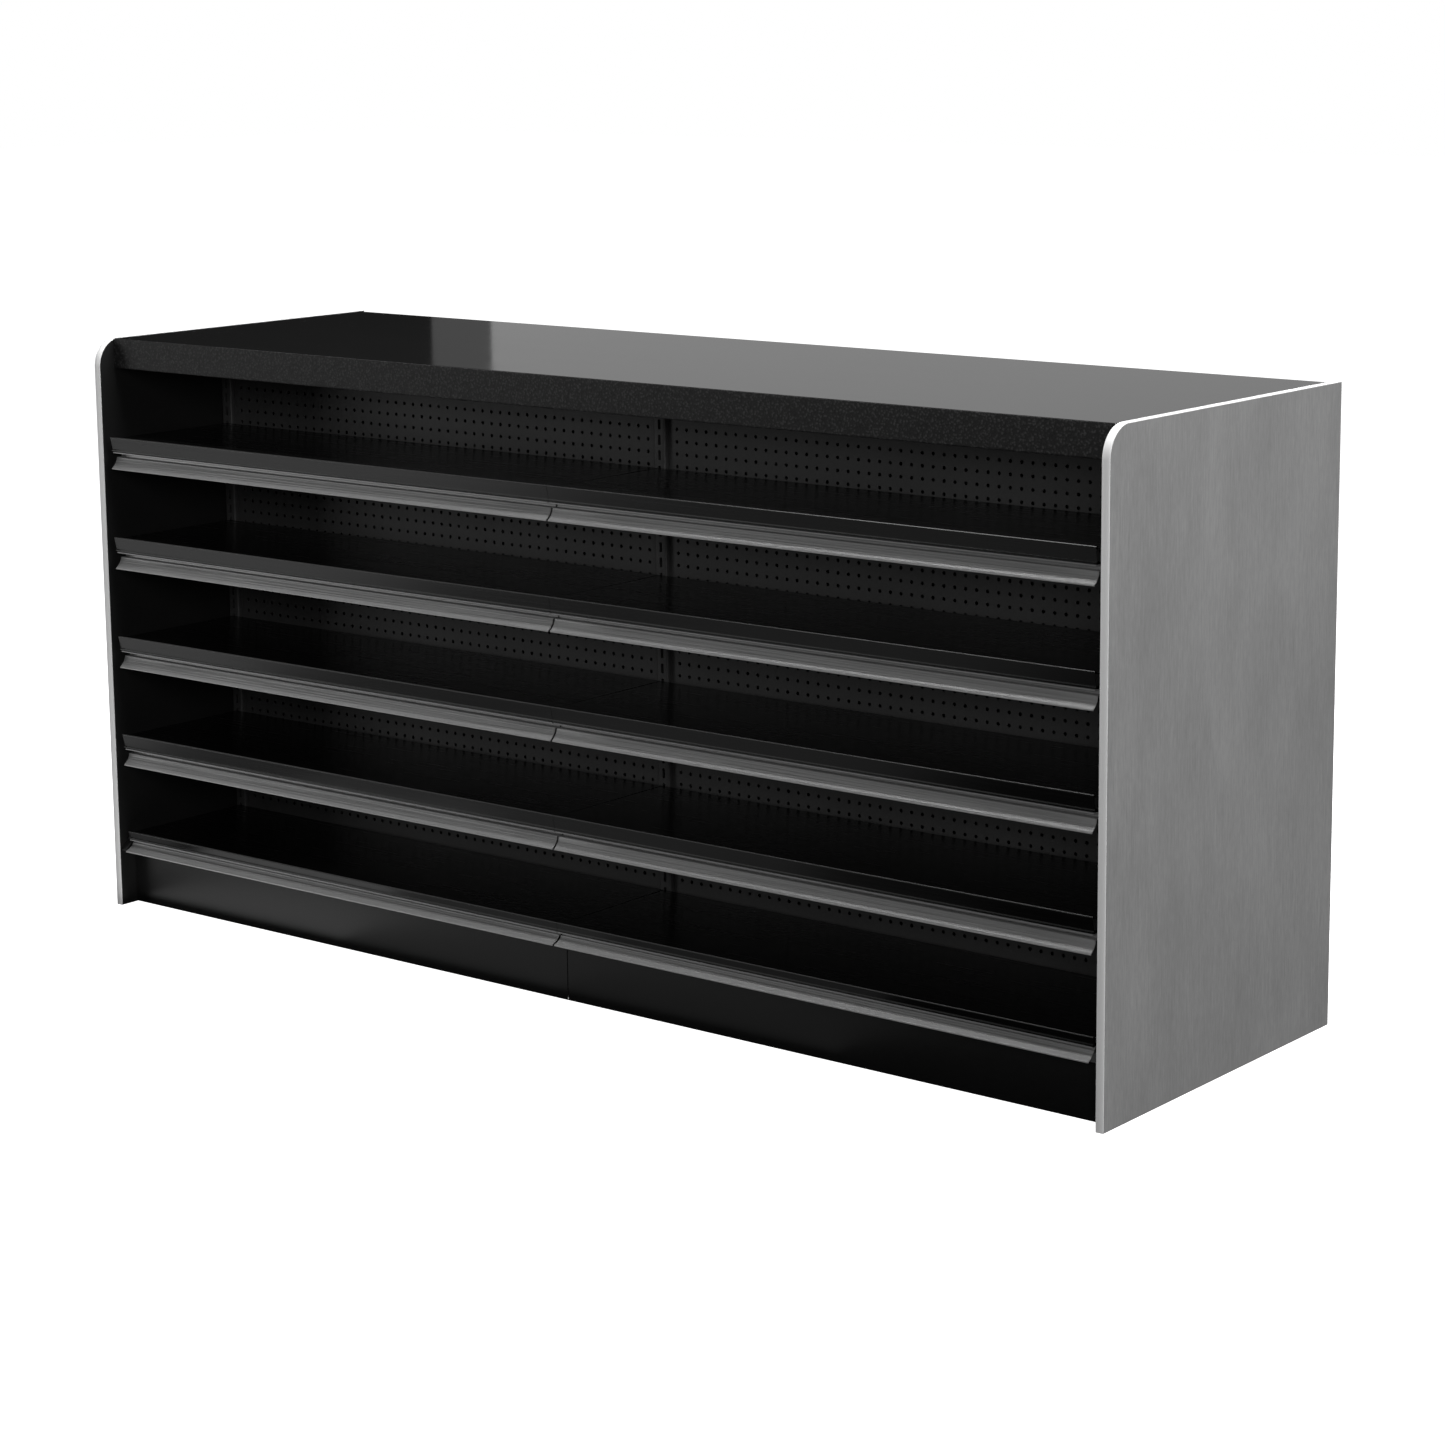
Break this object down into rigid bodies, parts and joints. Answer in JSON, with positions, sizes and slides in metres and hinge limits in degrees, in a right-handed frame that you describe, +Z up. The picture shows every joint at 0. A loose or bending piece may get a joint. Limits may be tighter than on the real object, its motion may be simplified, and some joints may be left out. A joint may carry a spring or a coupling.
{
  "type": "gondola shelving unit",
  "caption": "Counter-height gondola display unit: hook-on shelves with price channels, perforated back panels, laminate end panels and a black countertop.",
  "frame": {"origin": "on the floor under the centre of the unit", "axes": "+X to the right along the front, +Y from the shelves to the back, +Z up"},
  "size_m": [2.562, 0.8, 1.245],
  "materials": {
    "laminate": "brushed grey laminate",
    "edge_band": "pale satin edge banding",
    "counter": "black satin laminate",
    "apron": "pebbled black vinyl-faced sheet",
    "frame": "black powder coat",
    "tray": "gloss black enamel",
    "channel": "satin grey",
    "zinc": "zinc plated"
  },
  "bodies": {
    "carcass": {"end_panel_left": "laminate", "edge_band_left": "edge_band", "perforated_back_panel_left": "frame", "rear_closing_panel_left": "frame", "end_panel_right": "laminate", "edge_band_right": "edge_band", "perforated_back_panel_right": "frame", "rear_closing_panel_right": "frame", "countertop": "counter", "front_apron": "apron", "upright_left": "frame", "base_leg_left": "frame", "upright_centre": "frame", "base_leg_centre": "frame", "upright_right": "frame", "base_leg_right": "frame"},
    "shelf_left_1": {"tray_left_1": "tray", "price_channel_left_1": "channel", "bracket_left_1_left": "frame", "bracket_left_1_right": "frame"},
    "shelf_left_2": {"tray_left_2": "tray", "price_channel_left_2": "channel", "bracket_left_2_left": "frame", "bracket_left_2_right": "frame"},
    "shelf_left_3": {"tray_left_3": "tray", "price_channel_left_3": "channel", "bracket_left_3_left": "frame", "bracket_left_3_right": "frame"},
    "shelf_left_4": {"tray_left_4": "tray", "price_channel_left_4": "channel", "bracket_left_4_left": "frame", "bracket_left_4_right": "frame"},
    "base_left": {"base_deck_left": "tray", "base_price_channel_left": "channel"},
    "kick_left": {"kick_plate_left": "frame"},
    "shelf_right_1": {"tray_right_1": "tray", "price_channel_right_1": "channel", "bracket_right_1_left": "frame", "bracket_right_1_right": "frame"},
    "shelf_right_2": {"tray_right_2": "tray", "price_channel_right_2": "channel", "bracket_right_2_left": "frame", "bracket_right_2_right": "frame"},
    "shelf_right_3": {"tray_right_3": "tray", "price_channel_right_3": "channel", "bracket_right_3_left": "frame", "bracket_right_3_right": "frame"},
    "shelf_right_4": {"tray_right_4": "tray", "price_channel_right_4": "channel", "bracket_right_4_left": "frame", "bracket_right_4_right": "frame"},
    "base_right": {"base_deck_right": "tray", "base_price_channel_right": "channel"},
    "kick_right": {"kick_plate_right": "frame"},
    "foot_left_front": {"levelling_foot_left_front": "zinc"},
    "foot_left_rear": {"levelling_foot_left_rear": "zinc"},
    "foot_centre_front": {"levelling_foot_centre_front": "zinc"},
    "foot_centre_rear": {"levelling_foot_centre_rear": "zinc"},
    "foot_right_front": {"levelling_foot_right_front": "zinc"},
    "foot_right_rear": {"levelling_foot_right_rear": "zinc"}
  },
  "joints": [
    {"name": "shelf_left_1_tilt", "type": "hinge", "parent": "carcass", "child": "shelf_left_1", "pos_m": [-0.625, -0.052, 0.364], "axis": [-1, 0, 0], "range_deg": [0, 10]},
    {"name": "shelf_left_2_tilt", "type": "hinge", "parent": "carcass", "child": "shelf_left_2", "pos_m": [-0.625, -0.052, 0.581], "axis": [-1, 0, 0], "range_deg": [0, 10]},
    {"name": "shelf_left_3_tilt", "type": "hinge", "parent": "carcass", "child": "shelf_left_3", "pos_m": [-0.625, -0.052, 0.798], "axis": [-1, 0, 0], "range_deg": [0, 10]},
    {"name": "shelf_left_4_tilt", "type": "hinge", "parent": "carcass", "child": "shelf_left_4", "pos_m": [-0.625, -0.052, 1.015], "axis": [-1, 0, 0], "range_deg": [0, 10]},
    {"name": "base_left_lift", "type": "slide", "parent": "carcass", "child": "base_left", "axis": [0, 0, 1], "range_m": [0, 0.05]},
    {"name": "kick_left_pull", "type": "slide", "parent": "carcass", "child": "kick_left", "axis": [0, -1, 0], "range_m": [0, 0.05]},
    {"name": "shelf_right_1_tilt", "type": "hinge", "parent": "carcass", "child": "shelf_right_1", "pos_m": [0.625, -0.052, 0.364], "axis": [-1, 0, 0], "range_deg": [0, 10]},
    {"name": "shelf_right_2_tilt", "type": "hinge", "parent": "carcass", "child": "shelf_right_2", "pos_m": [0.625, -0.052, 0.581], "axis": [-1, 0, 0], "range_deg": [0, 10]},
    {"name": "shelf_right_3_tilt", "type": "hinge", "parent": "carcass", "child": "shelf_right_3", "pos_m": [0.625, -0.052, 0.798], "axis": [-1, 0, 0], "range_deg": [0, 10]},
    {"name": "shelf_right_4_tilt", "type": "hinge", "parent": "carcass", "child": "shelf_right_4", "pos_m": [0.625, -0.052, 1.015], "axis": [-1, 0, 0], "range_deg": [0, 10]},
    {"name": "base_right_lift", "type": "slide", "parent": "carcass", "child": "base_right", "axis": [0, 0, 1], "range_m": [0, 0.05]},
    {"name": "kick_right_pull", "type": "slide", "parent": "carcass", "child": "kick_right", "axis": [0, -1, 0], "range_m": [0, 0.05]},
    {"name": "foot_left_front_turn", "type": "hinge", "parent": "carcass", "child": "foot_left_front", "pos_m": [-1.25, -0.327, 0], "axis": [0, 0, 1], "continuous": true},
    {"name": "foot_left_rear_turn", "type": "hinge", "parent": "carcass", "child": "foot_left_rear", "pos_m": [-1.25, 0.322, 0], "axis": [0, 0, 1], "continuous": true},
    {"name": "foot_centre_front_turn", "type": "hinge", "parent": "carcass", "child": "foot_centre_front", "pos_m": [0, -0.327, 0], "axis": [0, 0, 1], "continuous": true},
    {"name": "foot_centre_rear_turn", "type": "hinge", "parent": "carcass", "child": "foot_centre_rear", "pos_m": [0, 0.322, 0], "axis": [0, 0, 1], "continuous": true},
    {"name": "foot_right_front_turn", "type": "hinge", "parent": "carcass", "child": "foot_right_front", "pos_m": [1.25, -0.327, 0], "axis": [0, 0, 1], "continuous": true},
    {"name": "foot_right_rear_turn", "type": "hinge", "parent": "carcass", "child": "foot_right_rear", "pos_m": [1.25, 0.322, 0], "axis": [0, 0, 1], "continuous": true}
  ]
}
